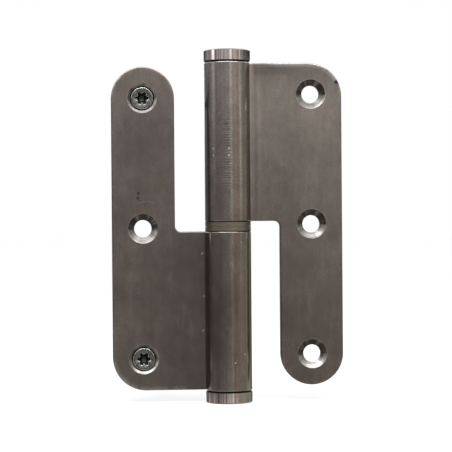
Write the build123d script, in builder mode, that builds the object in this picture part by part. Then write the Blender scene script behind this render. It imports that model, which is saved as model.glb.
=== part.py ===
from build123d import *
import os
from math import acos, atan2, cos, degrees, radians, sin, sqrt

os.makedirs("parts", exist_ok=True)

# Paumelle hinge, open flat. Millimetres, +Z up along the pin, front towards -Y.
# The origin is the centre of the lower leaf's middle hole, on that leaf's back face.

# Leaves, two equal stampings
leaf_height = 100.0
leaf_reach = 35.8
sheet_thickness = 3.0
arm_width = 19.5
corner_radius = 10.3
notch_radius = 1.8
edge_break = 0.4
closed_gap = 3.0

# Rolled knuckles
knuckle_length = 49.0
knuckle_bore = 8.2
crank_radius = 4.0
seam_gap = 0.25

# Screw holes
hole_count = 3
hole_diameter = 5.4
countersink_diameter = 9.1
countersink_angle = 90.0
hole_edge_distance = 9.6
hole_end_distance = 9.65

# Ball bearing between the knuckles
bearing_height = 3.1
race_floor = 0.95
race_inset = 0.05
race_lip = 0.5
race_chamfer = 0.05
race_split = 0.06
ball_diameter = 1.6
ball_count = 14
ball_clearance = 0.02
groove_relief = 0.05
cage_thickness = 0.6
cage_bore_gap = 0.25
cage_rim_gap = 0.2
cage_pocket_gap = 0.05

# Pin
running_clearance = 0.05
press_clearance = 0.01
race_clearance = 0.1
pin_tip_gap = 4.0
pin_nose = 2.2
pin_foot_chamfer = 0.6

# End caps
cap_overhang = 0.1
cap_height = 3.3
cap_rim_chamfer = 0.25
cap_seam = 0.45
cap_neck_depth = 0.3
spigot_length = 6.0
spigot_chamfer = 0.5

# Screws
screw_length = 30.0
screw_diameter = 4.0
neck_diameter = 2.9
neck_length = 4.5
head_diameter = 6.85
head_land = 0.6
head_round = 0.3
head_seat_gap = 0.02
point_length = 4.5
recess_span = 4.1
recess_core = 2.75
recess_lobe = 1.05
recess_round = 0.2
recess_lead = 0.12
recess_depth = 1.6
lobe_count = 6

# Sizes that follow from those above
bore_radius = knuckle_bore / 2
knuckle_radius = bore_radius + sheet_thickness
front_face = closed_gap / 2
back_face = front_face + sheet_thickness
middle_radius = bore_radius + sheet_thickness / 2
crank_middle = crank_radius + sheet_thickness / 2
crank_rise = back_face + crank_radius
crank_reach = middle_radius + crank_middle
crank_x = sqrt(crank_reach**2 - crank_rise**2)
crank_front = crank_radius + sheet_thickness
roll_start = degrees(atan2(crank_rise, crank_x))
lip_reach = crank_front + seam_gap
lip_cosine = (crank_reach**2 + knuckle_radius**2 - lip_reach**2) / (2 * crank_reach * knuckle_radius)
roll_end = roll_start - degrees(acos(lip_cosine))
roll_sweep = 360 + roll_end - roll_start
pin_x = leaf_reach - hole_edge_distance
pin_y = -back_face
lower_shoulder = knuckle_length - leaf_height / 2
upper_shoulder = lower_shoulder + bearing_height
hole_spacing = (leaf_height - 2 * hole_end_distance) / (hole_count - 1)
running_radius = bore_radius - running_clearance
pressed_radius = bore_radius - press_clearance
race_radius = knuckle_radius - race_inset
cage_inside = running_radius + cage_bore_gap
cage_outside = race_radius - race_lip - cage_rim_gap
pitch_radius = (cage_inside + cage_outside) / 2

# Each base stands on the pin's axis at the bearing end of a knuckle, its x out along that leaf
upper_base = Plane(origin=(pin_x, pin_y, upper_shoulder))
lower_base = Plane(origin=(pin_x, pin_y, lower_shoulder), x_dir=(-1, 0, 0), z_dir=(0, 0, -1))
bearing_base = Plane(origin=(pin_x, pin_y, lower_shoulder + bearing_height / 2))
pin_axis = Axis((pin_x, pin_y, 0), (0, 0, 1))


def around_pin(radius, angle):
    """Point at a radius and an angle about the pin."""
    return (radius * cos(radians(angle)), radius * sin(radians(angle)))


def make_leaf(base):
    """Leaf cut from sheet, cranked back, and rolled round the pin to a square end by its own front face."""
    foot = knuckle_length - leaf_height
    arm_inside = leaf_reach - arm_width
    arm_radius = arm_width / 2
    with BuildPart() as leaf:
        with BuildSketch(base.offset(foot)):
            with BuildLine():
                Line((leaf_reach, back_face), (crank_x, back_face))
                CenterArc((crank_x, crank_rise), crank_radius, 270, roll_start - 90)
                CenterArc((0, 0), knuckle_radius, roll_start, roll_sweep)
                Line(around_pin(knuckle_radius, roll_end), around_pin(bore_radius, roll_end))
                CenterArc((0, 0), bore_radius, roll_start, roll_sweep)
                CenterArc((crank_x, crank_rise), crank_front, 270, roll_start - 90)
                Line((crank_x, front_face), (leaf_reach, front_face))
                Line((leaf_reach, front_face), (leaf_reach, back_face))
            make_face()
        extrude(amount=leaf_height)
        with BuildSketch(Plane(base * Plane.XZ)) as outline:
            with BuildLine():
                Polyline((-leaf_reach, 0), (arm_inside, 0), (arm_inside, foot + arm_radius))
                ThreePointArc(
                    (arm_inside, foot + arm_radius),
                    (arm_inside + arm_radius, foot),
                    (leaf_reach, foot + arm_radius),
                )
                Polyline(
                    (leaf_reach, foot + arm_radius),
                    (leaf_reach, knuckle_length),
                    (-leaf_reach, knuckle_length),
                    (-leaf_reach, 0),
                )
            make_face()
            outer_corner = outline.vertices().group_by(Axis.X)[-1].sort_by(Axis.Y)[-1]
            fillet(outer_corner, corner_radius)
            notch_corner = outline.vertices().group_by(Axis.X)[1].sort_by(Axis.Y)[-1]
            fillet(notch_corner, notch_radius)
        extrude(amount=leaf_reach, both=True, mode=Mode.INTERSECT)
        outward = Axis(base.origin, base.x_dir)
        rim = leaf.edges().filter_by(Axis.Z).sort_by(outward)[-2:]
        fillet(rim, edge_break)
        with Locations(Plane(base * Plane.XZ.offset(-front_face))):
            with Locations((leaf_reach - hole_edge_distance, knuckle_length - leaf_height / 2)):
                with GridLocations(hole_spacing, hole_spacing, 1, hole_count):
                    CounterSinkHole(
                        hole_diameter / 2,
                        countersink_diameter / 2,
                        depth=sheet_thickness + closed_gap,
                        counter_sink_angle=countersink_angle,
                    )
    return leaf


def make_cap(base):
    """Turned cap with a recessed neck over the knuckle's end and a spigot pressed into its bore."""
    cap_radius = knuckle_radius + cap_overhang
    with BuildPart() as cap:
        with BuildSketch(Plane(base.offset(knuckle_length) * Plane.XZ)):
            with BuildLine():
                Polyline(
                    (0, -spigot_length),
                    (pressed_radius - spigot_chamfer, -spigot_length),
                    (pressed_radius, -spigot_length + spigot_chamfer),
                    (pressed_radius, 0),
                    (cap_radius - cap_neck_depth, 0),
                    (cap_radius - cap_neck_depth, cap_seam),
                    (cap_radius, cap_seam),
                    (cap_radius, cap_seam + cap_height - cap_rim_chamfer),
                    (cap_radius - cap_rim_chamfer, cap_seam + cap_height),
                    (0, cap_seam + cap_height),
                    close=True,
                )
            make_face()
        revolve(axis=pin_axis)
    return cap


def make_race(turn):
    """Washer with a ball groove and a lip that nearly meets the other race; turn is 1 above and -1 below."""
    half = bearing_height / 2
    race_bore = running_radius + race_clearance
    groove_radius = ball_diameter / 2 + groove_relief
    groove_level = ball_diameter / 2 + ball_clearance - groove_radius
    base = Plane(bearing_base.origin, x_dir=(1, 0, 0), z_dir=(0, 0, turn))
    with BuildPart() as race:
        with BuildSketch(Plane(base * Plane.XZ)):
            with BuildLine():
                Polyline(
                    (race_bore, half),
                    (race_bore, half - race_floor),
                    (race_radius - race_lip, half - race_floor),
                    (race_radius - race_lip, race_split / 2),
                    (race_radius - race_chamfer, race_split / 2),
                    (race_radius, race_split / 2 + race_chamfer),
                    (race_radius, half - race_chamfer),
                    (race_radius - race_chamfer, half),
                    close=True,
                )
            make_face()
            with Locations((pitch_radius, groove_level)):
                Circle(groove_radius, mode=Mode.SUBTRACT)
        revolve(axis=pin_axis)
    return race


def make_screw(seat):
    """Countersunk wood screw with a six-lobe recess; seat lies on the leaf's front face, its z to the front."""
    thread_radius = screw_diameter / 2
    neck_radius = neck_diameter / 2
    head_radius = head_diameter / 2
    rim_level = head_radius - countersink_diameter / 2 + head_seat_gap
    head_top = rim_level + head_land
    neck_level = rim_level - neck_length
    tip_level = head_top - screw_length
    with BuildPart() as screw:
        with BuildSketch(Plane(seat * Plane.XZ)):
            with BuildLine():
                Polyline(
                    (0, head_top),
                    (head_radius, head_top),
                    (head_radius, rim_level),
                    (neck_radius, rim_level - head_radius + neck_radius),
                    (neck_radius, neck_level),
                    (thread_radius, neck_level + neck_radius - thread_radius),
                    (thread_radius, tip_level + point_length),
                    (0, tip_level),
                    close=True,
                )
            make_face()
        revolve(axis=Axis(seat.origin, seat.z_dir))
        outward = Axis(seat.origin, seat.z_dir)
        fillet(screw.edges().sort_by(outward)[-1], head_round)
        with BuildSketch(seat.offset(head_top)) as recess:
            Circle(recess_core / 2)
            with PolarLocations(recess_span / 2 - recess_lobe / 2, lobe_count):
                Circle(recess_lobe / 2)
            fillet(recess.vertices(), recess_round)
        extrude(amount=-recess_depth, mode=Mode.SUBTRACT)
        mouth = screw.faces().sort_by(outward)[-1].inner_wires()[0]
        chamfer(mouth.edges(), recess_lead)
    return screw


# Leaves
lower_leaf = make_leaf(lower_base)
lower_leaf.part.label = "lower_leaf"
export_step(lower_leaf.part, "parts/lower_leaf.step")

upper_leaf = make_leaf(upper_base)
upper_leaf.part.label = "upper_leaf"
export_step(upper_leaf.part, "parts/upper_leaf.step")

# Pin, pressed into the lower knuckle and running in the upper one
pin_foot = lower_shoulder - knuckle_length + spigot_length
pin_tip = upper_shoulder + knuckle_length - spigot_length - pin_tip_gap
with BuildPart() as pin:
    with BuildSketch(Plane(Plane((pin_x, pin_y, 0)) * Plane.XZ)):
        with BuildLine():
            Polyline(
                (0, pin_foot),
                (pressed_radius - pin_foot_chamfer, pin_foot),
                (pressed_radius, pin_foot + pin_foot_chamfer),
                (pressed_radius, lower_shoulder),
                (running_radius, lower_shoulder),
                (running_radius, pin_tip),
                (0, pin_tip),
                close=True,
            )
        make_face()
    revolve(axis=pin_axis)
    fillet(pin.edges().sort_by(Axis.Z)[-1], pin_nose)
pin.part.label = "pin"
export_step(pin.part, "parts/pin.step")

# End caps
bottom_cap = make_cap(lower_base)
bottom_cap.part.label = "bottom_cap"
export_step(bottom_cap.part, "parts/bottom_cap.step")

top_cap = make_cap(upper_base)
top_cap.part.label = "top_cap"
export_step(top_cap.part, "parts/top_cap.step")

# Ball bearing
lower_race = make_race(-1)
lower_race.part.label = "lower_race"
export_step(lower_race.part, "parts/lower_race.step")

upper_race = make_race(1)
upper_race.part.label = "upper_race"
export_step(upper_race.part, "parts/upper_race.step")

with BuildPart() as ball_cage:
    with BuildSketch(bearing_base):
        Circle(cage_outside)
        Circle(cage_inside, mode=Mode.SUBTRACT)
        with PolarLocations(pitch_radius, ball_count):
            Circle(ball_diameter / 2 + cage_pocket_gap, mode=Mode.SUBTRACT)
    extrude(amount=cage_thickness / 2, both=True)
ball_cage.part.label = "ball_cage"
export_step(ball_cage.part, "parts/ball_cage.step")

with BuildPart(bearing_base) as bearing_balls:
    with PolarLocations(pitch_radius, ball_count):
        Sphere(ball_diameter / 2)
bearing_balls.part.label = "bearing_balls"
export_step(bearing_balls.part, "parts/bearing_balls.step")

# Screws in the lower leaf's end holes
hole_height = leaf_height / 2 - hole_end_distance
top_screw = make_screw(Plane((0, -sheet_thickness, hole_height), x_dir=(1, 0, 0), z_dir=(0, -1, 0)))
top_screw.part.label = "top_screw"
export_step(top_screw.part, "parts/top_screw.step")

bottom_screw = make_screw(Plane((0, -sheet_thickness, -hole_height), x_dir=(1, 0, 0), z_dir=(0, -1, 0)))
bottom_screw.part.label = "bottom_screw"
export_step(bottom_screw.part, "parts/bottom_screw.step")
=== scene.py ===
import math
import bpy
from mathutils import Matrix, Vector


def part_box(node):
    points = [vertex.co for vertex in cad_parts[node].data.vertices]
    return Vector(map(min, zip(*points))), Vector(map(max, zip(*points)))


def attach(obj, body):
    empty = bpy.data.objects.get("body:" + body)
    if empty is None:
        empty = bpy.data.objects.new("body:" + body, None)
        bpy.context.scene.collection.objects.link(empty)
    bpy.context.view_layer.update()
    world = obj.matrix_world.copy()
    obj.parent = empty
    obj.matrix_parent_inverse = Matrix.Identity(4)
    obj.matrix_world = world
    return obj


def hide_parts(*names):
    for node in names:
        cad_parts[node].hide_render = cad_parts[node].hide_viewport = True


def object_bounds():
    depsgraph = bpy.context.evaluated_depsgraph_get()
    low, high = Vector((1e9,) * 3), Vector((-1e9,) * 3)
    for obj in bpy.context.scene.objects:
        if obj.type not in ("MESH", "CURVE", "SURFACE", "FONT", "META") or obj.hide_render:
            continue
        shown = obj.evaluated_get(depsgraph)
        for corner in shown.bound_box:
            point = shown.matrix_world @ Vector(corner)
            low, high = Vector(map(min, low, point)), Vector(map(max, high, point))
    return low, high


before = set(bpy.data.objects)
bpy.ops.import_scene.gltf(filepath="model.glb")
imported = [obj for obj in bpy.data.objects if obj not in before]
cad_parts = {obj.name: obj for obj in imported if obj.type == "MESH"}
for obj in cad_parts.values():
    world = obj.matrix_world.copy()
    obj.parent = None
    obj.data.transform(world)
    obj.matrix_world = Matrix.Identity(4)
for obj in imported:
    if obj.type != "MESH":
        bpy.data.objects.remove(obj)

from types import SimpleNamespace

import bmesh
import bpy
from bpy.props import FloatProperty, FloatVectorProperty, IntProperty, PointerProperty
from mathutils import Vector

bl_info = {
    "name": "Paumelle hinge",
    "version": (1, 0, 0),
    "blender": (4, 5, 0),
    "location": "View3D > Sidebar > Hinge",
    "description": "Finishes, threaded screws and studio for a lift-off leaf hinge",
    "category": "Object",
}

MM = 0.001
UP = Vector((0.0, 0.0, 1.0))
CAD_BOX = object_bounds()
SCREWS = ("top_screw", "bottom_screw")
SCREW_AXIS = Vector((0.0, 1.0, 0.0))

# The hinge's measures in millimetres, in the shared frame
PIN_AXIS = (26.2, -4.5)
KNUCKLE_RADIUS = 7.1
KNUCKLE_END = 50.5
CAP_NECK_RADIUS = 6.95
CAP_NECK_END = 51.03
LEAF_FRONT = -3.0
SHEET_MIDDLE = -1.5
HOLE_PITCH = 40.35
HOLE_OFFSET = 1.1
MID_HEIGHT = HOLE_OFFSET / 2
COUNTERSINK_RADIUS = 4.55
HEAD_FACE = -2.495

# Marks, a darker patch, a painted sheen and painted glints on the leaves and the barrel, in millimetres
# A painted sheen: a lighter patch on the upper leaf
PAINTED_SHEEN = (45.0, LEAF_FRONT, 34.0)
# A darker patch on the lower leaf
DARKER_PATCH = (0.5, LEAF_FRONT, 27.0)
SCRATCHED = (0.3, LEAF_FRONT, 10.5)
ARC_CENTRE = (1.0, LEAF_FRONT, 3.2)
ARC_RADIUS = 5.2
DINGS = ((-1.35, LEAF_FRONT, 11.0), (-1.5, LEAF_FRONT, 9.4))
NICK = (60.5, -2.8, 45.2)
# Painted glints on the barrel
PAINTED_GLINTS = (
    (21.4, -9.9, 24.4), (21.4, -9.9, 22.3), (26.1, -11.6, 24.4), (26.1, -11.6, 22.3), (27.7, -11.4, -41.2))
SPECKS = (
    (18.2, LEAF_FRONT, -7.8), (18.7, LEAF_FRONT, -21.0), (18.4, LEAF_FRONT, -31.6), (30.6, -10.0, -38.6))

# Rounded ends of the leaves, with painted highlights along them: centre x and z, radius, outer side (0 for both),
# up or down, and share of the painted highlight
ROUNDED = (
    (0.15, 40.25, 9.75, 0, 1, 0.10),
    (51.7, 40.8, 10.3, 1, 1, 0.34),
    (0.7, -39.7, 10.3, -1, -1, 0.30),
    (52.25, -39.15, 9.75, 0, -1, 0.03))

# Paints and tints that go over the steels
# Dirt and painted shade in the caps' necks and at the races' joint
DIRT_AND_SHADE = (0.012, 0.010, 0.009)
NICK_SHADE = (0.012, 0.011, 0.010)
RECESS_SHADE = (0.012, 0.012, 0.011)
# Paint of the painted glints on the barrel
PAINTED_GLINT = (0.85, 0.84, 0.82)
# Paint of the painted highlights on the lips of the screws' recesses
PAINTED_LIP_HIGHLIGHT = (0.72, 0.71, 0.68)
PINK_TINT = (1.06, 0.95, 1.02)
GREEN_TINT = (0.95, 1.03, 0.93)
WARM_TINT = (1.10, 0.93, 0.88)

# The grey studio that the metal mirrors, tuned against brightness measured on the photograph's barrel,
# caps and leaves: levels round it, from behind by the left to the front and on,
PANELS = (
    (0.000, 0.75), (0.030, 0.60), (0.060, 0.10), (0.143, 0.15), (0.225, 0.19), (0.300, 0.21), (0.405, 0.21),
    (0.432, 0.25), (0.485, 0.30), (0.505, 0.28), (0.525, 0.36), (0.549, (0.50, 0.51, 0.48)), (0.575, 0.35),
    (0.600, (0.43, 0.365, 0.33)), (0.650, (0.34, 0.28, 0.24)), (0.683, 0.42), (0.700, 0.36),
    (0.722, (0.29, 0.31, 0.27)), (0.760, 0.21), (0.830, 0.09), (0.940, 0.06), (0.970, 0.60), (1.000, 0.75))
# levels from its floor to its ceiling,
HEIGHTS = (
    (0.000, 0.06), (0.390, 0.30), (0.447, 0.27), (0.467, (0.066, 0.056, 0.049)), (0.480, (0.076, 0.065, 0.057)),
    (0.500, (0.265, 0.245, 0.230)), (0.515, (0.293, 0.300, 0.310)), (0.530, (0.540, 0.560, 0.582)),
    (0.556, (0.600, 0.620, 0.644)), (0.700, 0.94), (1.000, 1.00))
# narrow strips that the bottom cap mirrors (way round, half width, grey),
LOW_STREAKS = (
    (0.165, 0.016, 0.26), (0.342, 0.014, 0.03), (0.498, 0.022, 0.28), (0.560, 0.010, 0.24), (0.672, 0.012, 0.26),
    (0.763, 0.016, 0.03), (0.836, 0.018, 0.27))
# and cards in it: way round and half width or all round, edges in height, share and colour
WINDOW = ((0.292, 0.020), ((0.5372, 0.5385), (0.549, 0.545)), 1.0, (0.75, 0.74, 0.72))
DIM_SIDE = ((0.800, 0.085), ((0.538, 0.535),), 1.0, (0.078, 0.085, 0.072))
CEILING = (None, ((0.555, 0.630),), 1.0, (0.26, 0.255, 0.245))
GROUND = (None, ((0.435, 0.395), (0.09, 0.16)), 1.0, (0.125, 0.120, 0.113))
FRONT_CARD = ((0.547, 0.012), ((0.488, 0.505), (0.534, 0.526)), 0.6, (0.24, 0.24, 0.225))
SIDE_CARD = ((0.684, 0.009), ((0.506, 0.516), (0.530, 0.522)), 1.0, (0.42, 0.41, 0.38))
LOW_LEFT_CARD = ((0.120, 0.040), ((0.500, 0.488),), 1.0, (0.050, 0.046, 0.042))
LOW_SIDE_CARD = ((0.690, 0.060), ((0.502, 0.488),), 1.0, (0.105, 0.098, 0.088))
CARDS = (WINDOW, DIM_SIDE, CEILING, GROUND, FRONT_CARD, SIDE_CARD, LOW_LEFT_CARD, LOW_SIDE_CARD)
WARM_BLINDS = (1.18, 0.91, 0.84)
SURROUND_RADIUS = 1.6
SURROUND_TOP = 1.45
FLOOR_RADIUS = 4.0
KEY_SIZE = (1.10, 0.30)
KEY_PLACE = (0.02, -0.32, 0.64)


class SteelColours(bpy.types.PropertyGroup):
    """Colours of the hinge's steels and of the brass ball cage."""

    leaf: FloatVectorProperty(
        name="Leaf", description="Satin steel of the two leaves", subtype="COLOR", size=3,
        default=(0.149, 0.131, 0.115), min=0.0, max=1.0)
    barrel: FloatVectorProperty(
        name="Barrel", description="Rolled knuckles, a shade lighter than the leaves", subtype="COLOR", size=3,
        default=(0.184, 0.163, 0.145), min=0.0, max=1.0)
    # Cut steel, also the paint of the painted highlights along the leaves' rounded edges
    cut: FloatVectorProperty(
        name="Cut steel", description="Countersinks and sheared edges", subtype="COLOR", size=3,
        default=(0.48, 0.465, 0.44), min=0.0, max=1.0)
    # Stains, also the paint of the painted shade in the countersinks' upper halves
    stain_and_shade: FloatVectorProperty(
        name="Stain", description="Handling stains and dirt in the seams", subtype="COLOR", size=3,
        default=(0.042, 0.031, 0.025), min=0.0, max=1.0)
    cap: FloatVectorProperty(
        name="Cap", description="Turned end caps", subtype="COLOR", size=3,
        default=(0.300, 0.274, 0.252), min=0.0, max=1.0)
    race: FloatVectorProperty(
        name="Race", description="Ground bearing races", subtype="COLOR", size=3,
        default=(0.162, 0.143, 0.120), min=0.0, max=1.0)
    pin: FloatVectorProperty(
        name="Pin", description="Ground hinge pin", subtype="COLOR", size=3,
        default=(0.42, 0.40, 0.38), min=0.0, max=1.0)
    ball: FloatVectorProperty(
        name="Ball", description="Polished bearing balls", subtype="COLOR", size=3,
        default=(0.55, 0.54, 0.53), min=0.0, max=1.0)
    cage: FloatVectorProperty(
        name="Cage", description="Brass ball cage", subtype="COLOR", size=3,
        default=(0.52, 0.36, 0.13), min=0.0, max=1.0)
    screw: FloatVectorProperty(
        name="Screw", description="Stainless wood screws", subtype="COLOR", size=3,
        default=(0.110, 0.113, 0.103), min=0.0, max=1.0)


class ScrewSizes(bpy.types.PropertyGroup):
    """Sizes of the screw thread that the scene cuts on the plain shanks."""

    pitch: FloatProperty(
        name="Pitch", description="Length of one turn of the thread", unit="LENGTH", default=1.8 * MM)
    core: FloatProperty(
        name="Core", description="Radius at the foot of the thread", unit="LENGTH", default=1.28 * MM)
    crest: FloatProperty(
        name="Crest", description="Radius at the crest of the thread", unit="LENGTH", default=1.98 * MM)
    neck: FloatProperty(
        name="Neck", description="Plain length behind the leaf before the thread", unit="LENGTH", default=2.4 * MM)
    lead: FloatProperty(
        name="Lead", description="Length of the step from the neck to the thread", unit="LENGTH", default=0.4 * MM)
    point: FloatProperty(
        name="Point", description="Length of the tapered point", unit="LENGTH", default=5.0 * MM)
    steps: IntProperty(
        name="Steps", description="Faces round one turn of the thread", default=32, min=8, max=96)


class StudioSettings(bpy.types.PropertyGroup):
    """Camera, lamp, surround and floor."""

    yaw: FloatProperty(
        name="Yaw", description="How far the camera stands to the left", unit="ROTATION",
        default=math.radians(4.122))
    dip: FloatProperty(
        name="Dip", description="How far the camera looks down", unit="ROTATION", default=math.radians(0.393))
    roll: FloatProperty(
        name="Roll", description="Turn of the picture about its middle", unit="ROTATION",
        default=math.radians(0.458))
    distance: FloatProperty(
        name="Distance", description="Camera to the middle of the hinge", unit="LENGTH", default=0.5431)
    focal: FloatProperty(
        name="Focal length", description="Lens for a 36 mm sensor", unit="CAMERA", default=139.98)
    target: FloatVectorProperty(
        name="Target", description="Point in the middle of the picture", subtype="TRANSLATION", size=3,
        default=(0.02559, -0.0045, 0.00065))
    key: FloatProperty(
        name="Key lamp", description="Soft lamp above the front", unit="POWER", default=8.0, min=0.0)
    fill: FloatProperty(
        name="World", description="Level of the light from all round", default=1.0, min=0.0)
    surround: FloatProperty(
        name="Surround", description="Level of the grey studio that the metal reflects", default=6.67, min=0.0)
    floor: FloatVectorProperty(
        name="Floor", description="Pale floor", subtype="COLOR", size=3, default=(0.97, 0.97, 0.97))


class HingeLook(bpy.types.PropertyGroup):
    """All the settings of the hinge's looks."""

    steel: PointerProperty(type=SteelColours)
    screw: PointerProperty(type=ScrewSizes)
    studio: PointerProperty(type=StudioSettings)


def rgba(colour):
    """A colour, or a grey level, as four numbers."""
    return (colour, colour, colour, 1.0) if isinstance(colour, float) else (*colour, 1.0)


class Socket:
    """An output of a node tree. Sums on it add Math nodes."""

    def __init__(self, finish, output):
        self.finish = finish
        self.output = output

    def other(self, name):
        """Another output of the same node."""
        return Socket(self.finish, self.output.node.outputs[name])

    def __add__(self, other):
        return self.finish.math("ADD", self, other)

    def __radd__(self, other):
        return self.finish.math("ADD", other, self)

    def __sub__(self, other):
        return self.finish.math("SUBTRACT", self, other)

    def __rsub__(self, other):
        return self.finish.math("SUBTRACT", other, self)

    def __mul__(self, other):
        return self.finish.math("MULTIPLY", self, other)

    def __rmul__(self, other):
        return self.finish.math("MULTIPLY", other, self)

    def __truediv__(self, other):
        return self.finish.math("DIVIDE", self, other)

    def __pow__(self, other):
        return self.finish.math("POWER", self, other)

    def __abs__(self):
        return self.finish.math("ABSOLUTE", self)


class Finish:
    """A node tree in the making, with the one method that adds a node to it."""

    def __init__(self, tree):
        self.tree = tree
        tree.nodes.clear()

    def node(self, kind, settings=None, sockets=None, out=0):
        """Adds a node, sets it up, fills or links its sockets, and returns one of its outputs if it has any."""
        made = self.tree.nodes.new(kind)
        for name, value in (settings or {}).items():
            if name == "stops":
                stops = made.color_ramp.elements
                while len(stops) < len(value):
                    stops.new(1.0)
                for stop, (place, colour) in zip(stops, value):
                    stop.position = place
                    stop.color = rgba(colour)
            else:
                setattr(made, name, value)
        for name, value in (sockets or {}).items():
            if isinstance(value, Socket):
                self.tree.links.new(value.output, made.inputs[name])
            else:
                made.inputs[name].default_value = value
        return Socket(self, made.outputs[out]) if made.outputs else None

    def math(self, operation, first, second=0.0):
        """A Math node on one or two values."""
        return self.node("ShaderNodeMath", {"operation": operation}, {0: first, 1: second})

    def place(self):
        """Object coordinates in millimetres."""
        coords = self.node("ShaderNodeTexCoord", out="Object")
        return self.node("ShaderNodeMapping", {}, {"Vector": coords, "Scale": (1 / MM,) * 3})

    def split(self, vector):
        """The three parts of a vector."""
        first = self.node("ShaderNodeSeparateXYZ", {}, {0: vector})
        return [first.other(axis) for axis in "XYZ"]

    def join(self, x, y, z):
        """A vector from three values."""
        return self.node("ShaderNodeCombineXYZ", {}, {0: x, 1: y, 2: z})

    def noise(self, vector, scale, detail=3.0, roughness=0.55):
        """Soft noise from 0 to 1, with its own scale along each axis, in features a millimetre."""
        stretched = self.node("ShaderNodeMapping", {}, {"Vector": vector, "Scale": scale})
        return self.node("ShaderNodeTexNoise", {"normalize": True}, {
            "Vector": stretched, "Scale": 1.0, "Detail": detail, "Roughness": roughness})

    def ease(self, value, low, high):
        """0 below low and 1 above high, eased between. Turned round where low is the larger."""
        return self.node("ShaderNodeMapRange", {"interpolation_type": "SMOOTHSTEP", "clamp": True}, {
            "Value": value, "From Min": low, "From Max": high})

    def mix(self, factor, first, second, blend="MIX"):
        """A colour between two colours."""
        return self.node("ShaderNodeMix", {"data_type": "RGBA", "blend_type": blend}, {
            0: factor, 6: first, 7: second}, out=2)

    def tone(self, value, dark, light):
        """A grey that runs from dark to light as a value runs from 0 to 1."""
        grey = dark + value * (light - dark)
        return self.node("ShaderNodeCombineColor", {}, {0: grey, 1: grey, 2: grey})

    def shade(self, colour, value, dark, light):
        """A colour made darker or lighter by a value."""
        return self.mix(1.0, colour, self.tone(value, dark, light), "MULTIPLY")

    def bump(self, height, distance, strength):
        """A normal raised by a height, in millimetres."""
        return self.node("ShaderNodeBump", {}, {
            "Height": height, "Distance": distance * MM, "Strength": strength})

    def surface(self, shader, end="ShaderNodeOutputMaterial"):
        """The output of a material or world."""
        self.node(end, {}, {"Surface": shader})

    def metal(self, colour, roughness, normal):
        """The metal's shader and the material's output."""
        self.surface(self.node("ShaderNodeBsdfPrincipled", {}, {
            "Base Color": colour, "Roughness": roughness, "Metallic": 1.0, "Normal": normal}))


def new_finish(name):
    """A material by that name and its empty node tree."""
    material = bpy.data.materials.new(name)
    material.use_nodes = True
    return material, Finish(material.node_tree)


def dress(material, *nodes):
    """Puts a material on CAD nodes."""
    for name in nodes:
        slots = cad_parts[name].data.materials
        slots.clear()
        slots.append(material)


def round_pin(f, x, y):
    """Distance from the pin's axis, and way round it as a length on the barrel from its front."""
    across = x - PIN_AXIS[0]
    front = PIN_AXIS[1] - y
    radius = (across * across + front * front) ** 0.5
    return radius, f.math("ARCTAN2", across, front) * KNUCKLE_RADIUS


def from_holes(f, x, z):
    """Distance from the axis of the nearest screw hole, and the way across and above that axis."""
    across = abs(x - PIN_AXIS[0]) - PIN_AXIS[0]
    right = f.ease(x, PIN_AXIS[0] - 0.1, PIN_AXIS[0] + 0.1)
    half = HOLE_PITCH / 2
    above = f.node("ShaderNodeMath", {"operation": "WRAP"}, {0: z - right * HOLE_OFFSET, 1: half, 2: -half})
    return (across * across + above * above) ** 0.5, across, above


def rolled_edge(f, x, z, centre_x, centre_z, radius, side, way):
    """1 along the rounded end of a leaf and the straight edge that runs on from it, 0 inside."""
    beyond = x - centre_x
    if side:
        beyond = f.math("MAXIMUM", beyond * side, 0.0)
    rise = (z - centre_z) * way
    distance = (beyond * beyond + rise * rise) ** 0.5
    return f.ease(distance, radius - 1.7, radius - 0.2) * f.ease(rise, 0.0, 3.0)


def turned(f, place, angle):
    """Coordinates turned about the Y axis."""
    return f.node("ShaderNodeMapping", {}, {"Vector": place, "Rotation": (0.0, angle, 0.0)})


def away(f, place, centre):
    """Distance from a point."""
    return f.node("ShaderNodeVectorMath", {"operation": "DISTANCE"}, {0: place, 1: centre}, out="Value")


def spot(f, place, centre, radius):
    """1 at a point, falling to 0 at that radius."""
    return f.ease(away(f, place, centre), radius, radius * 0.35)


def dots(f, colour, place, points, radius, share, paint):
    """A colour with small dots of another paint on it."""
    for point in points:
        colour = f.mix(spot(f, place, point, radius) * share, colour, rgba(paint))
    return colour


def leaf_places(f):
    """Where a point lies on the leaves: in the frame, about the pin and by the nearest hole, with masks."""
    at = SimpleNamespace(place=f.place())
    at.x, at.y, at.z = f.split(at.place)
    at.radius, at.way = round_pin(f, at.x, at.y)
    at.hole, at.across, at.above = from_holes(f, at.x, at.z)
    at.barrel = f.ease(at.radius, KNUCKLE_RADIUS + 1.0, KNUCKLE_RADIUS + 0.2)
    in_sink = f.ease(at.hole, COUNTERSINK_RADIUS + 0.2, COUNTERSINK_RADIUS - 0.1)
    at.countersink = in_sink * f.ease(at.y, -0.9, -1.1)
    at.sheared = f.ease(abs(at.y - SHEET_MIDDLE), 1.42, 1.1) * (1 - at.barrel) * (1 - at.countersink)
    return at


def leaf_textures(f, place):
    """The unevenness of satin steel: soft clouds, mottling, brushing along the pin and fine grain."""
    return SimpleNamespace(
        cloud=f.noise(place, (0.055, 0.055, 0.05), 3.0, 0.5),
        mottle=f.noise(place, (0.16, 0.16, 0.11), 4.0, 0.6),
        blotch=f.noise(place, (0.50, 0.50, 0.34), 3.0, 0.6),
        tint=f.noise(place, (0.75, 0.75, 0.60), 3.0, 0.6),
        brush=f.noise(place, (1.1, 1.1, 0.05), 5.0, 0.66),
        fine_brush=f.noise(place, (7.0, 7.0, 0.16), 2.0, 0.5),
        grain=f.noise(place, (2.2, 2.2, 2.2), 3.0, 0.7))


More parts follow.
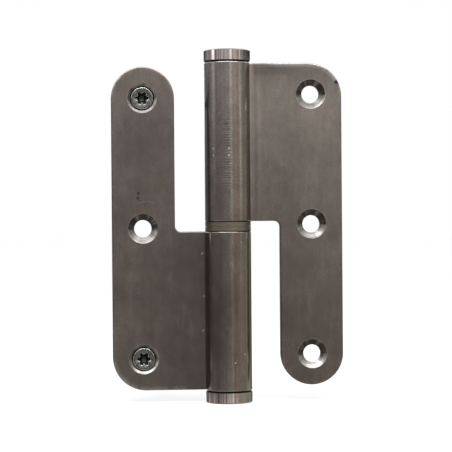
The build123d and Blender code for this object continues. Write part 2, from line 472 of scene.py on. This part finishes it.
def satin(f, at, texture, steel):
    """Satin steel of the leaves and the barrel, uneven in tone and tint, with patches of painted light and shade
    and painted highlights along the rounded edges.
    """
    colour = f.mix(at.barrel, rgba(steel.leaf), rgba(steel.barrel))
    coarse_grain = (texture.grain - 0.5) * (1 + at.barrel * 0.7) + 0.5
    for value, spread in (
            (texture.mottle, 0.24), (texture.blotch, 0.22), (texture.cloud, 0.24), (texture.brush, 0.13),
            (texture.fine_brush, 0.05), (coarse_grain, 0.21)):
        colour = f.shade(colour, value, 1 - spread, 1 + spread)

    upper_flat = f.ease(at.x, 33.0, 36.0)
    lower_inside = f.ease(at.x, -4.0, 18.0) * f.ease(at.z, 30.0, -12.0) * f.ease(at.x, 20.0, 18.5)
    bend = f.ease(abs(at.x - 33.7), 1.5, 0.4) * 0.38 + f.ease(abs(at.x - 36.2), 0.9, 0.2) * 0.14
    under_edge = f.ease(at.z, 46.5, 48.5) * f.ease(at.z, 51.0, 49.8) * f.ease(at.x, 52.0, 42.0)
    # Patches of painted light and shade: painted shade on the lower leaf beside the barrel, a painted highlight
    # along the bend by the upper barrel, a painted sheen on the upper leaf, painted shade along and under its top
    # edge, a darker patch on the lower leaf and painted shade towards the upper leaf's tail
    for mask, level in (
            (lower_inside, 0.72),
            (bend * f.ease(at.z, 2.0, 8.0), 2.0),
            (spot(f, at.place, PAINTED_SHEEN, 22.0) * upper_flat, 1.18),
            (f.ease(at.z, 42.0, 50.0) * upper_flat, 0.82),
            (under_edge * upper_flat, 0.78),
            (spot(f, at.place, DARKER_PATCH, 15.0), 0.84),
            (f.ease(at.z, -16.0, -30.0) * upper_flat, 0.84)):
        colour = f.shade(colour, mask, 1.0, level)

    # Painted highlights along the rounded ends and edges of the leaves
    for centre_x, centre_z, radius, side, way, highlight_share in ROUNDED:
        own_side = 1 if centre_x > PIN_AXIS[0] else -1
        own_leaf = f.ease((at.x - PIN_AXIS[0]) * own_side, 7.0, 18.0)
        edge_highlight = rolled_edge(f, at.x, at.z, centre_x, centre_z, radius, side, way) * own_leaf
        colour = f.mix(edge_highlight * highlight_share * f.ease(texture.blotch, 0.30, 0.55), colour, rgba(steel.cut))

    colour = f.mix(f.ease(texture.tint, 0.50, 0.64), colour, rgba(PINK_TINT), "MULTIPLY")
    return f.mix(f.ease(texture.tint, 0.50, 0.36) * 0.5, colour, rgba(GREEN_TINT), "MULTIPLY")


def countersunk(f, at, texture, steel, colour):
    """Turned countersinks with painted shade in their upper halves, and sheared edges. Also gives the rings."""
    swirl = f.join(at.hole + texture.grain * 0.15, at.z * 0.10, at.x * 0.10)
    rings = f.noise(swirl, (4.5, 1.0, 1.0), 3.0, 0.7)
    colour = f.mix(at.countersink, colour, f.shade(rgba(steel.cut), f.ease(rings, 0.30, 0.70), 0.50, 1.25))
    direction = f.join(at.across / at.hole, at.above / at.hole, at.hole * 0.05)
    spokes = f.noise(direction, (3.4, 3.4, 1.0), 2.0, 0.5)
    colour = f.mix(at.countersink * f.ease(spokes, 0.50, 0.34) * 0.5, colour, rgba(steel.leaf))

    # Painted shade in the upper halves of the countersinks, lighter along some spokes and at the screwed holes
    upper_half = f.ease(at.above + (texture.grain - 0.5) * 1.6 + (texture.blotch - 0.5) * 2.5, -1.4, 0.4)
    lighter_spokes = f.ease(spokes, 0.54, 0.66) * 0.35
    screwed = f.ease(abs(at.z), 18.0, 22.0) * f.ease(at.x, 20.0, 15.0)
    countersink_shade = at.countersink * upper_half * 0.9 * (1 - lighter_spokes) * (1 - screwed * 0.4)
    colour = f.mix(countersink_shade, colour, rgba(steel.stain_and_shade))
    colour = f.mix(at.sheared * 0.35, colour, f.shade(rgba(steel.cut), texture.grain, 0.5, 1.0))
    return colour, rings


def barrel_marks(f, at, steel, colour):
    """Pale end rims, the rolling tool's rungs, flecks, pits, painted glints and painted light on the flanks of the
    barrel. Also gives the rungs' relief.
    """
    # Paler rims at the barrel's outer ends
    rim = f.ease(abs(at.z - MID_HEIGHT), KNUCKLE_END - 0.3, KNUCKLE_END) * at.barrel
    colour = f.mix(rim * 0.7, colour, rgba(steel.cut))

    uneven = f.noise(f.join(0.0, 0.0, at.z), (1.0, 1.0, 0.8), 2.0, 0.5)
    patchy = f.noise(f.join(at.way, 0.0, at.z), (1.6, 1.0, 0.9), 3.0, 0.6)
    wave = f.math("SINE", at.z * 7.6 + uneven * 17.0 + patchy * 11.0)
    column = f.ease(abs(at.way + 0.2), 1.7, 0.7) + f.ease(abs(at.way + 2.6), 3.6, 2.2) * 0.3
    marked = column * f.ease(at.z, 10.0, 15.0) * f.ease(at.z, 36.0, 32.0) * at.barrel * f.ease(patchy, 0.34, 0.58)
    colour = f.mix(f.ease(wave, 0.0, -0.8) * marked * 0.36, colour, rgba(steel.stain_and_shade))
    colour = f.mix(f.ease(wave, 0.2, 0.9) * marked * 0.16, colour, rgba(steel.cut))

    flecks = f.ease(f.noise(at.place, (1.3, 1.3, 1.0), 1.0, 0.5), 0.72, 0.78)
    colour = f.mix(flecks * at.barrel * 0.25, colour, rgba(steel.cut))
    pits = f.ease(f.noise(at.place, (1.6, 1.6, 1.3), 1.0, 0.5), 0.30, 0.24)
    colour = f.mix(pits * at.barrel * 0.30, colour, rgba(steel.stain_and_shade))
    # Painted glints on the barrel
    colour = dots(f, colour, at.place, PAINTED_GLINTS, 0.36, 0.55, PAINTED_GLINT)

    # Painted light on the barrel's flanks, where their reflections run dark
    right_flank = f.ease(at.way, 5.2, 6.2) * f.ease(at.way, 8.2, 7.6)
    left_flank = f.ease(at.way, -6.0, -7.2) * f.ease(at.way, -10.4, -9.2) * f.ease(at.z, 0.0, -2.0)
    colour = f.shade(colour, (right_flank + left_flank * 1.8) * at.barrel, 1.0, 1.6)
    return colour, wave * marked


def handling_marks(f, at, texture, steel, colour):
    """Scuffs, scratches, a slight darkening beside the barrel, a dragged arc, dings, a nicked corner and bright
    specks.
    """
    flat = 1 - at.barrel
    scuffs = f.ease(f.noise(at.place, (1.3, 1.3, 0.24), 2.0, 0.5), 0.69, 0.76)
    colour = f.mix(scuffs * 0.05 * flat, colour, rgba(steel.cut))
    hairs = f.ease(f.noise(turned(f, at.place, 0.5), (5.0, 5.0, 0.12), 1.0, 0.5), 0.70, 0.77)
    colour = f.mix(hairs * (0.06 + spot(f, at.place, SCRATCHED, 9.0) * 0.22) * flat, colour, rgba(steel.cut))
    # A slight darkening beside the barrel
    seam = f.ease(at.radius, 10.5, 8.2) * f.ease(at.radius, 6.8, 7.4)
    colour = f.mix(seam * flat * 0.08, colour, rgba(steel.stain_and_shade))
    arc = f.ease(abs(away(f, at.place, ARC_CENTRE) - ARC_RADIUS), 0.20, 0.05) * f.ease(at.z, 7.5, 8.0)
    colour = f.mix(arc * 0.16, colour, rgba(steel.cut))
    colour = dots(f, colour, at.place, DINGS, 0.6, 0.8, steel.stain_and_shade)
    ragged = f.join(at.x + texture.grain * 2.4 - 1.2, at.y, at.z)
    colour = dots(f, colour, ragged, (NICK,), 0.95, 0.9, NICK_SHADE)
    return dots(f, colour, at.place, SPECKS, 0.45, 0.6, steel.cut)


class HINGE_OT_leaves(bpy.types.Operator):
    """Gives the two leaves their satin steel, with brushing, stains, tool marks and painted light and shade."""

    bl_idname = "hinge.leaves"
    bl_label = "Finish leaves"

    def execute(self, context):
        steel = context.scene.hinge_look.steel
        material, f = new_finish("satin_steel")
        at = leaf_places(f)
        texture = leaf_textures(f, at.place)
        colour = satin(f, at, texture, steel)
        colour, rings = countersunk(f, at, texture, steel, colour)
        colour, rungs = barrel_marks(f, at, steel, colour)
        colour = handling_marks(f, at, texture, steel, colour)
        roughness = (
            0.21 + texture.brush * 0.05 + texture.mottle * 0.06 + at.countersink * (rings * 0.16 - 0.02)
            - at.barrel * 0.07 + at.sheared * 0.14)
        relief = (
            texture.brush * 0.38 + texture.fine_brush * 0.2 + texture.grain * 0.34 + rungs * 0.5
            + rings * at.countersink * 0.6)
        f.metal(colour, roughness, f.bump(relief, 0.012, 0.55))
        dress(material, "lower_leaf", "upper_leaf")
        return {"FINISHED"}


def turned_metal(f, colour, ring_spread, roughness, depth, neck=None, joint=None):
    """Lathe-turned metal: fine rings about the pin, with dirt and painted shade in a neck (radius, end) or at a
    joint's height.
    """
    place = f.place()
    x, y, z = f.split(place)
    radius, way = round_pin(f, x, y)
    height = abs(z - MID_HEIGHT)
    rings = f.noise(f.join(radius * 4.0, way * 0.03, z * 4.0), (1.0, 1.0, 1.0), 3.0, 0.65)
    mottle = f.noise(place, (0.35, 0.35, 0.35), 3.0, 0.6)
    grain = f.noise(place, (4.0, 4.0, 4.0), 2.0, 0.6)
    shaded = rgba(colour)
    for value, spread in ((rings, ring_spread), (mottle, 0.28), (grain, 0.1)):
        shaded = f.shade(shaded, value, 1 - spread, 1 + spread)
    shaded = f.mix(f.ease(mottle, 0.5, 0.7) * 0.5, shaded, rgba(WARM_TINT), "MULTIPLY")
    gloss = roughness + rings * 0.06 + mottle * 0.05
    if neck:
        neck_radius, neck_end = neck
        # Dirt and painted shade in the neck under a cap
        neck_dirt_and_shade = f.ease(radius, neck_radius + 0.3, neck_radius) * f.ease(height, neck_end + 0.05, neck_end)
        shaded = f.mix(neck_dirt_and_shade, shaded, rgba(DIRT_AND_SHADE))
        gloss = gloss + neck_dirt_and_shade * 0.4
    if joint:
        # Dirt and painted shade where the races meet the knuckles
        joint_dirt_and_shade = f.ease(height + (mottle - 0.5) * 0.5, joint - 0.42, joint - 0.12)
        shaded = f.mix(joint_dirt_and_shade * 0.85, shaded, rgba(DIRT_AND_SHADE))
        gloss = gloss + joint_dirt_and_shade * 0.2
    f.metal(shaded, gloss, f.bump(rings * 0.8 + grain * 0.2, depth, 0.5))


class HINGE_OT_caps(bpy.types.Operator):
    """Gives the end caps their bright turned steel."""

    bl_idname = "hinge.caps"
    bl_label = "Finish end caps"

    def execute(self, context):
        material, f = new_finish("turned_steel")
        neck = (CAP_NECK_RADIUS, CAP_NECK_END)
        turned_metal(f, context.scene.hinge_look.steel.cap, 0.20, 0.03, 0.004, neck=neck)
        dress(material, "top_cap", "bottom_cap")
        return {"FINISHED"}


class HINGE_OT_bearing(bpy.types.Operator):
    """Gives the races, the balls and their cage their finishes."""

    bl_idname = "hinge.bearing"
    bl_label = "Finish bearing"

    def execute(self, context):
        steel = context.scene.hinge_look.steel
        material, f = new_finish("race_steel")
        ring_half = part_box("upper_race")[1].z / MM - MID_HEIGHT
        turned_metal(f, steel.race, 0.22, 0.28, 0.008, joint=ring_half)
        dress(material, "lower_race", "upper_race")
        material, f = new_finish("cage_brass")
        turned_metal(f, steel.cage, 0.18, 0.30, 0.006)
        dress(material, "ball_cage")
        material, f = new_finish("ball_steel")
        turned_metal(f, steel.ball, 0.06, 0.06, 0.002)
        dress(material, "bearing_balls")
        return {"FINISHED"}


class HINGE_OT_pin(bpy.types.Operator):
    """Gives the pin its ground steel."""

    bl_idname = "hinge.pin"
    bl_label = "Finish pin"

    def execute(self, context):
        material, f = new_finish("pin_steel")
        turned_metal(f, context.scene.hinge_look.steel.pin, 0.16, 0.20, 0.005)
        dress(material, "pin")
        return {"FINISHED"}


def cut_away(bm, point, outward):
    """Cuts away what lies past a plane."""
    bmesh.ops.bisect_plane(
        bm, geom=bm.verts[:] + bm.edges[:] + bm.faces[:], dist=1e-7,
        plane_co=point, plane_no=outward, clear_outer=True)


def add_mesh(name, bm):
    """Turns a finished bmesh into an object of the scene."""
    mesh = bpy.data.meshes.new(name)
    bm.to_mesh(mesh)
    bm.free()
    made = bpy.data.objects.new(name, mesh)
    bpy.context.scene.collection.objects.link(made)
    return made


def thread_profile(bm, sizes, start):
    """One pitch of the thread's outline, as joined edges on the screw's own axis along Y."""
    half = sizes.pitch / 2
    outline = (
        (sizes.core, 0.0), (sizes.core, half * 0.55), (sizes.crest, half * 0.94),
        (sizes.crest, half * 1.06), (sizes.core, half * 1.45), (sizes.core, sizes.pitch))
    points = [bm.verts.new((out, start + along, 0.0)) for out, along in outline]
    edges = [bm.edges.new(pair) for pair in zip(points, points[1:])]
    return points + edges


def threaded_shank(bm, sizes, start, tip):
    """A thread from start to tip about the Y axis, tapered to a point, open at its start."""
    turns = math.ceil((tip - start) / sizes.pitch) + 1
    profile = thread_profile(bm, sizes, start - sizes.pitch)
    bmesh.ops.spin(
        bm, geom=profile, cent=(0.0, 0.0, 0.0), axis=SCREW_AXIS,
        dvec=SCREW_AXIS * (sizes.pitch / sizes.steps), angle=math.tau * turns, steps=turns * sizes.steps)
    bmesh.ops.remove_doubles(bm, verts=bm.verts, dist=0.01 * MM)
    cut_away(bm, SCREW_AXIS * start, -SCREW_AXIS)
    cut_away(bm, SCREW_AXIS * tip, SCREW_AXIS)
    for vert in bm.verts:
        out = math.hypot(vert.co.x, vert.co.z)
        run_in = min(1.0, (vert.co.y - start) / sizes.pitch)
        taper = max(0.0, min(1.0, (tip - vert.co.y) / sizes.point))
        wanted = (sizes.core + (out - sizes.core) * run_in) * taper ** 0.8
        vert.co.x *= wanted / out
        vert.co.z *= wanted / out


def make_screw(node, sizes, material):
    """A threaded screw with the head of its CAD node."""
    low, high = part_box(node)
    centre = Vector(((low.x + high.x) / 2, 0.0, (low.z + high.z) / 2))
    thread_start = sizes.neck + sizes.lead
    bm = bmesh.new()
    bm.from_mesh(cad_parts[node].data)
    bmesh.ops.translate(bm, verts=bm.verts, vec=-centre)
    bmesh.ops.remove_doubles(bm, verts=bm.verts, dist=0.001 * MM)
    cut_away(bm, SCREW_AXIS * sizes.neck, SCREW_AXIS)

    shank = bmesh.new()
    threaded_shank(shank, sizes, thread_start, high.y)
    holder = bpy.data.meshes.new("thread_holder")
    shank.to_mesh(holder)
    shank.free()
    bm.from_mesh(holder)
    bpy.data.meshes.remove(holder)
    bmesh.ops.remove_doubles(bm, verts=bm.verts, dist=0.002 * MM)
    past_start = thread_start + 0.1 * MM
    rims = [edge for edge in bm.edges if edge.is_boundary and edge.verts[0].co.y < past_start]
    bmesh.ops.bridge_loops(bm, edges=rims)
    bmesh.ops.holes_fill(bm, edges=[edge for edge in bm.edges if edge.is_boundary], sides=0)
    bmesh.ops.recalc_face_normals(bm, faces=bm.faces)
    bmesh.ops.translate(bm, verts=bm.verts, vec=centre)

    piece = add_mesh(node + "_threaded", bm)
    piece.data.shade_smooth()
    piece.data.set_sharp_from_angle(angle=math.radians(32))
    piece.data.materials.append(material)
    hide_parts(node)
    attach(piece, "lower_leaf")


class HINGE_OT_screws(bpy.types.Operator):
    """Cuts the screws' threads and gives the screws their steel."""

    bl_idname = "hinge.screws"
    bl_label = "Thread and finish screws"

    def execute(self, context):
        look = context.scene.hinge_look
        material, f = new_finish("screw_steel")
        place = f.place()
        mottle = f.noise(place, (0.6, 0.6, 0.6), 3.0, 0.6)
        grain = f.noise(place, (2.6, 2.6, 2.6), 3.0, 0.65)
        colour = f.shade(rgba(look.steel.screw), mottle, 0.60, 1.40)
        colour = f.shade(colour, grain, 0.55, 1.45)
        depth = f.split(place)[1] - HEAD_FACE
        # Painted highlights on the lips of the recess, and painted shade deep in the recess
        lip = f.ease(depth, 0.01, 0.04) * f.ease(depth, 0.16, 0.11)
        colour = f.mix(lip * f.ease(grain, 0.36, 0.50), colour, rgba(PAINTED_LIP_HIGHLIGHT))
        recess = f.ease(depth, 0.12, 0.45) * f.ease(depth, 0.2 - HEAD_FACE, -0.2 - HEAD_FACE)
        colour = f.mix(recess * 0.8, colour, rgba(RECESS_SHADE))
        f.metal(colour, 0.17 + grain * 0.10 + mottle * 0.08, f.bump(grain, 0.02, 0.4))
        for node in SCREWS:
            make_screw(node, look.screw, material)
        return {"FINISHED"}


def white_rays(f):
    """1 for rays that see the background: camera, mirror and glass rays."""
    camera = f.node("ShaderNodeLightPath", out="Is Camera Ray")
    mirror = camera.other("Is Glossy Ray")
    glass = camera.other("Is Transmission Ray")
    return f.node("ShaderNodeMath", {"operation": "ADD", "use_clamp": True}, {0: camera + mirror, 1: glass})


def strip(f, value, middle, half):
    """1 in a narrow band of a value, 0 outside it."""
    return f.ease(abs(value - middle), half * 1.5, half * 0.5)


def surround_shade(f):
    """The studio's greys by the way round it and by height, with blinds and streaks where the caps mirror it."""
    x, y, z = f.split(f.node("ShaderNodeTexCoord", out="Object"))
    turn = f.math("ARCTAN2", x, 0.0 - y) / math.tau + 0.5
    level = f.math("ARCTAN2", z, (x * x + y * y) ** 0.5) / math.pi + 0.5
    round_about = f.node("ShaderNodeValToRGB", {"stops": PANELS}, {"Fac": turn})
    upward = f.node("ShaderNodeValToRGB", {"stops": HEIGHTS}, {"Fac": level})
    shade = f.mix(1.0, round_about, upward, "MULTIPLY")

    high_cap = f.ease(level, 0.5368, 0.5382) * f.ease(level, 0.552, 0.547)
    low_cap = f.ease(level, 0.4575, 0.4560) * f.ease(level, 0.446, 0.450)
    facing = f.math("SINE", (turn - 0.5) * math.pi)
    blinds = f.noise(f.join(facing * 11.0, 0.0, 0.0), (1.0, 1.0, 1.0), 2.0, 0.6)
    stripes = (f.ease(blinds, 0.38, 0.62) - 0.5) * (0.12 + (high_cap + low_cap) * 0.88) + 0.5
    shade = f.shade(shade, stripes, 0.28, 1.72)
    warmth = f.noise(f.join(facing * 6.0, 3.0, 0.0), (1.0, 1.0, 1.0), 1.0, 0.5)
    warmed = f.ease(warmth, 0.42, 0.60) * 0.8 * (high_cap + low_cap)
    shade = f.mix(warmed, shade, rgba(WARM_BLINDS), "MULTIPLY")
    far_side = f.ease(turn, 0.53, 0.60) * 0.35 + f.ease(turn, 0.70, 0.755) * 0.45 + f.ease(turn, 0.22, 0.12) * 0.5
    shade = f.shade(shade, far_side * high_cap, 1.0, 0.0)
    shade = f.shade(shade, low_cap, 1.0, 2.9)
    for middle, half, grey in LOW_STREAKS:
        shade = f.mix(strip(f, turn, middle, half) * low_cap, shade, rgba((grey, grey * 0.96, grey * 0.92)))

    for band, edges, share, colour in CARDS:
        masks = [strip(f, turn, *band)] if band else []
        masks += [f.ease(level, *edge) for edge in edges]
        shade = f.mix(math.prod(masks) * share, shade, rgba(colour))
    return shade


def add_surround(strength):
    """A grey studio surround, brighter above, that only the metal's reflections see."""
    bm = bmesh.new()
    bmesh.ops.create_uvsphere(bm, u_segments=48, v_segments=24, radius=SURROUND_RADIUS)
    cut_away(bm, UP * SURROUND_TOP, UP)
    bmesh.ops.reverse_faces(bm, faces=bm.faces)
    surround = add_mesh("studio_surround", bm)
    material, f = new_finish("studio_grey")
    f.surface(f.node("ShaderNodeEmission", {}, {"Color": surround_shade(f), "Strength": strength}))
    surround.data.materials.append(material)
    for kind in ("camera", "diffuse", "transmission", "volume_scatter", "shadow"):
        setattr(surround, "visible_" + kind, False)


def add_camera(scene, studio):
    """The camera at the photograph's viewing angle."""
    data = bpy.data.cameras.new("camera")
    data.lens = studio.focal
    data.sensor_width = 36.0
    data.clip_start = 0.01
    camera = bpy.data.objects.new("camera", data)
    camera.rotation_euler = (math.pi / 2 - studio.dip, studio.roll, -studio.yaw)
    turn = camera.rotation_euler.to_matrix()
    camera.location = Vector(studio.target) + turn @ Vector((0.0, 0.0, studio.distance))
    scene.collection.objects.link(camera)
    scene.camera = camera


def add_world(scene, studio):
    """A white world behind everything, which also lights it from all round."""
    world = bpy.data.worlds.new("white_studio")
    world.use_nodes = True
    f = Finish(world.node_tree)
    rays = white_rays(f)
    level = rays + (1 - rays) * studio.fill
    sky = f.node("ShaderNodeBackground", {}, {"Color": rgba(1.0), "Strength": level})
    f.surface(sky, "ShaderNodeOutputWorld")
    scene.world = world


def add_floor(studio):
    """A pale floor under the hinge that shows nearly white and keeps a soft shadow."""
    bm = bmesh.new()
    bmesh.ops.create_circle(bm, cap_ends=True, segments=64, radius=FLOOR_RADIUS)
    bmesh.ops.translate(bm, verts=bm.verts, vec=UP * CAD_BOX[0].z)
    floor = add_mesh("floor", bm)
    floor.visible_glossy = False
    material, f = new_finish("pale_floor")
    matt = f.node("ShaderNodeBsdfDiffuse", {}, {"Color": rgba(studio.floor)})
    white = f.node("ShaderNodeEmission", {}, {"Color": rgba(1.0), "Strength": 1.0})
    f.surface(f.node("ShaderNodeMixShader", {}, {0: white_rays(f) * 0.75, 1: matt, 2: white}))
    floor.data.materials.append(material)


def add_key_lamp(scene, studio):
    """A soft lamp above the front, turned to the hinge, out of the camera's own sight."""
    data = bpy.data.lights.new("key_lamp", "AREA")
    data.shape = "RECTANGLE"
    data.size, data.size_y = KEY_SIZE
    data.energy = studio.key
    lamp = bpy.data.objects.new("key_lamp", data)
    lamp.location = KEY_PLACE
    lamp.rotation_euler = (Vector(studio.target) - Vector(KEY_PLACE)).to_track_quat("-Z", "Y").to_euler()
    lamp.visible_camera = False
    scene.collection.objects.link(lamp)


class HINGE_OT_studio(bpy.types.Operator):
    """Sets the camera, the white world, the pale floor, the surround and the lamp."""

    bl_idname = "hinge.studio"
    bl_label = "Set up studio"

    def execute(self, context):
        scene = context.scene
        studio = scene.hinge_look.studio
        scene.view_settings.view_transform = "Standard"
        add_camera(scene, studio)
        add_world(scene, studio)
        add_floor(studio)
        add_surround(studio.surround)
        add_key_lamp(scene, studio)
        return {"FINISHED"}


class HINGE_PT_look(bpy.types.Panel):
    """Lists the hinge's settings and steps."""

    bl_idname = "HINGE_PT_look"
    bl_label = "Paumelle hinge"
    bl_space_type = "VIEW_3D"
    bl_region_type = "UI"
    bl_category = "Hinge"

    def draw(self, context):
        look = context.scene.hinge_look
        for group in (look.steel, look.screw, look.studio):
            box = self.layout.box()
            for name in group.__annotations__:
                box.prop(group, name)
        for step in STEPS:
            self.layout.operator(step.bl_idname)


STEPS = (
    HINGE_OT_leaves, HINGE_OT_caps, HINGE_OT_bearing, HINGE_OT_pin, HINGE_OT_screws, HINGE_OT_studio)
CLASSES = (SteelColours, ScrewSizes, StudioSettings, HingeLook, *STEPS, HINGE_PT_look)


def register():
    """Adds the classes and the scene's settings."""
    for kind in CLASSES:
        bpy.utils.register_class(kind)
    bpy.types.Scene.hinge_look = PointerProperty(type=HingeLook)


def unregister():
    """Takes them away again."""
    del bpy.types.Scene.hinge_look
    for kind in reversed(CLASSES):
        bpy.utils.unregister_class(kind)


def main():
    """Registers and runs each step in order."""
    register()
    bpy.ops.hinge.leaves()
    bpy.ops.hinge.caps()
    bpy.ops.hinge.bearing()
    bpy.ops.hinge.pin()
    bpy.ops.hinge.screws()
    bpy.ops.hinge.studio()


if __name__ == "__main__":
    main()
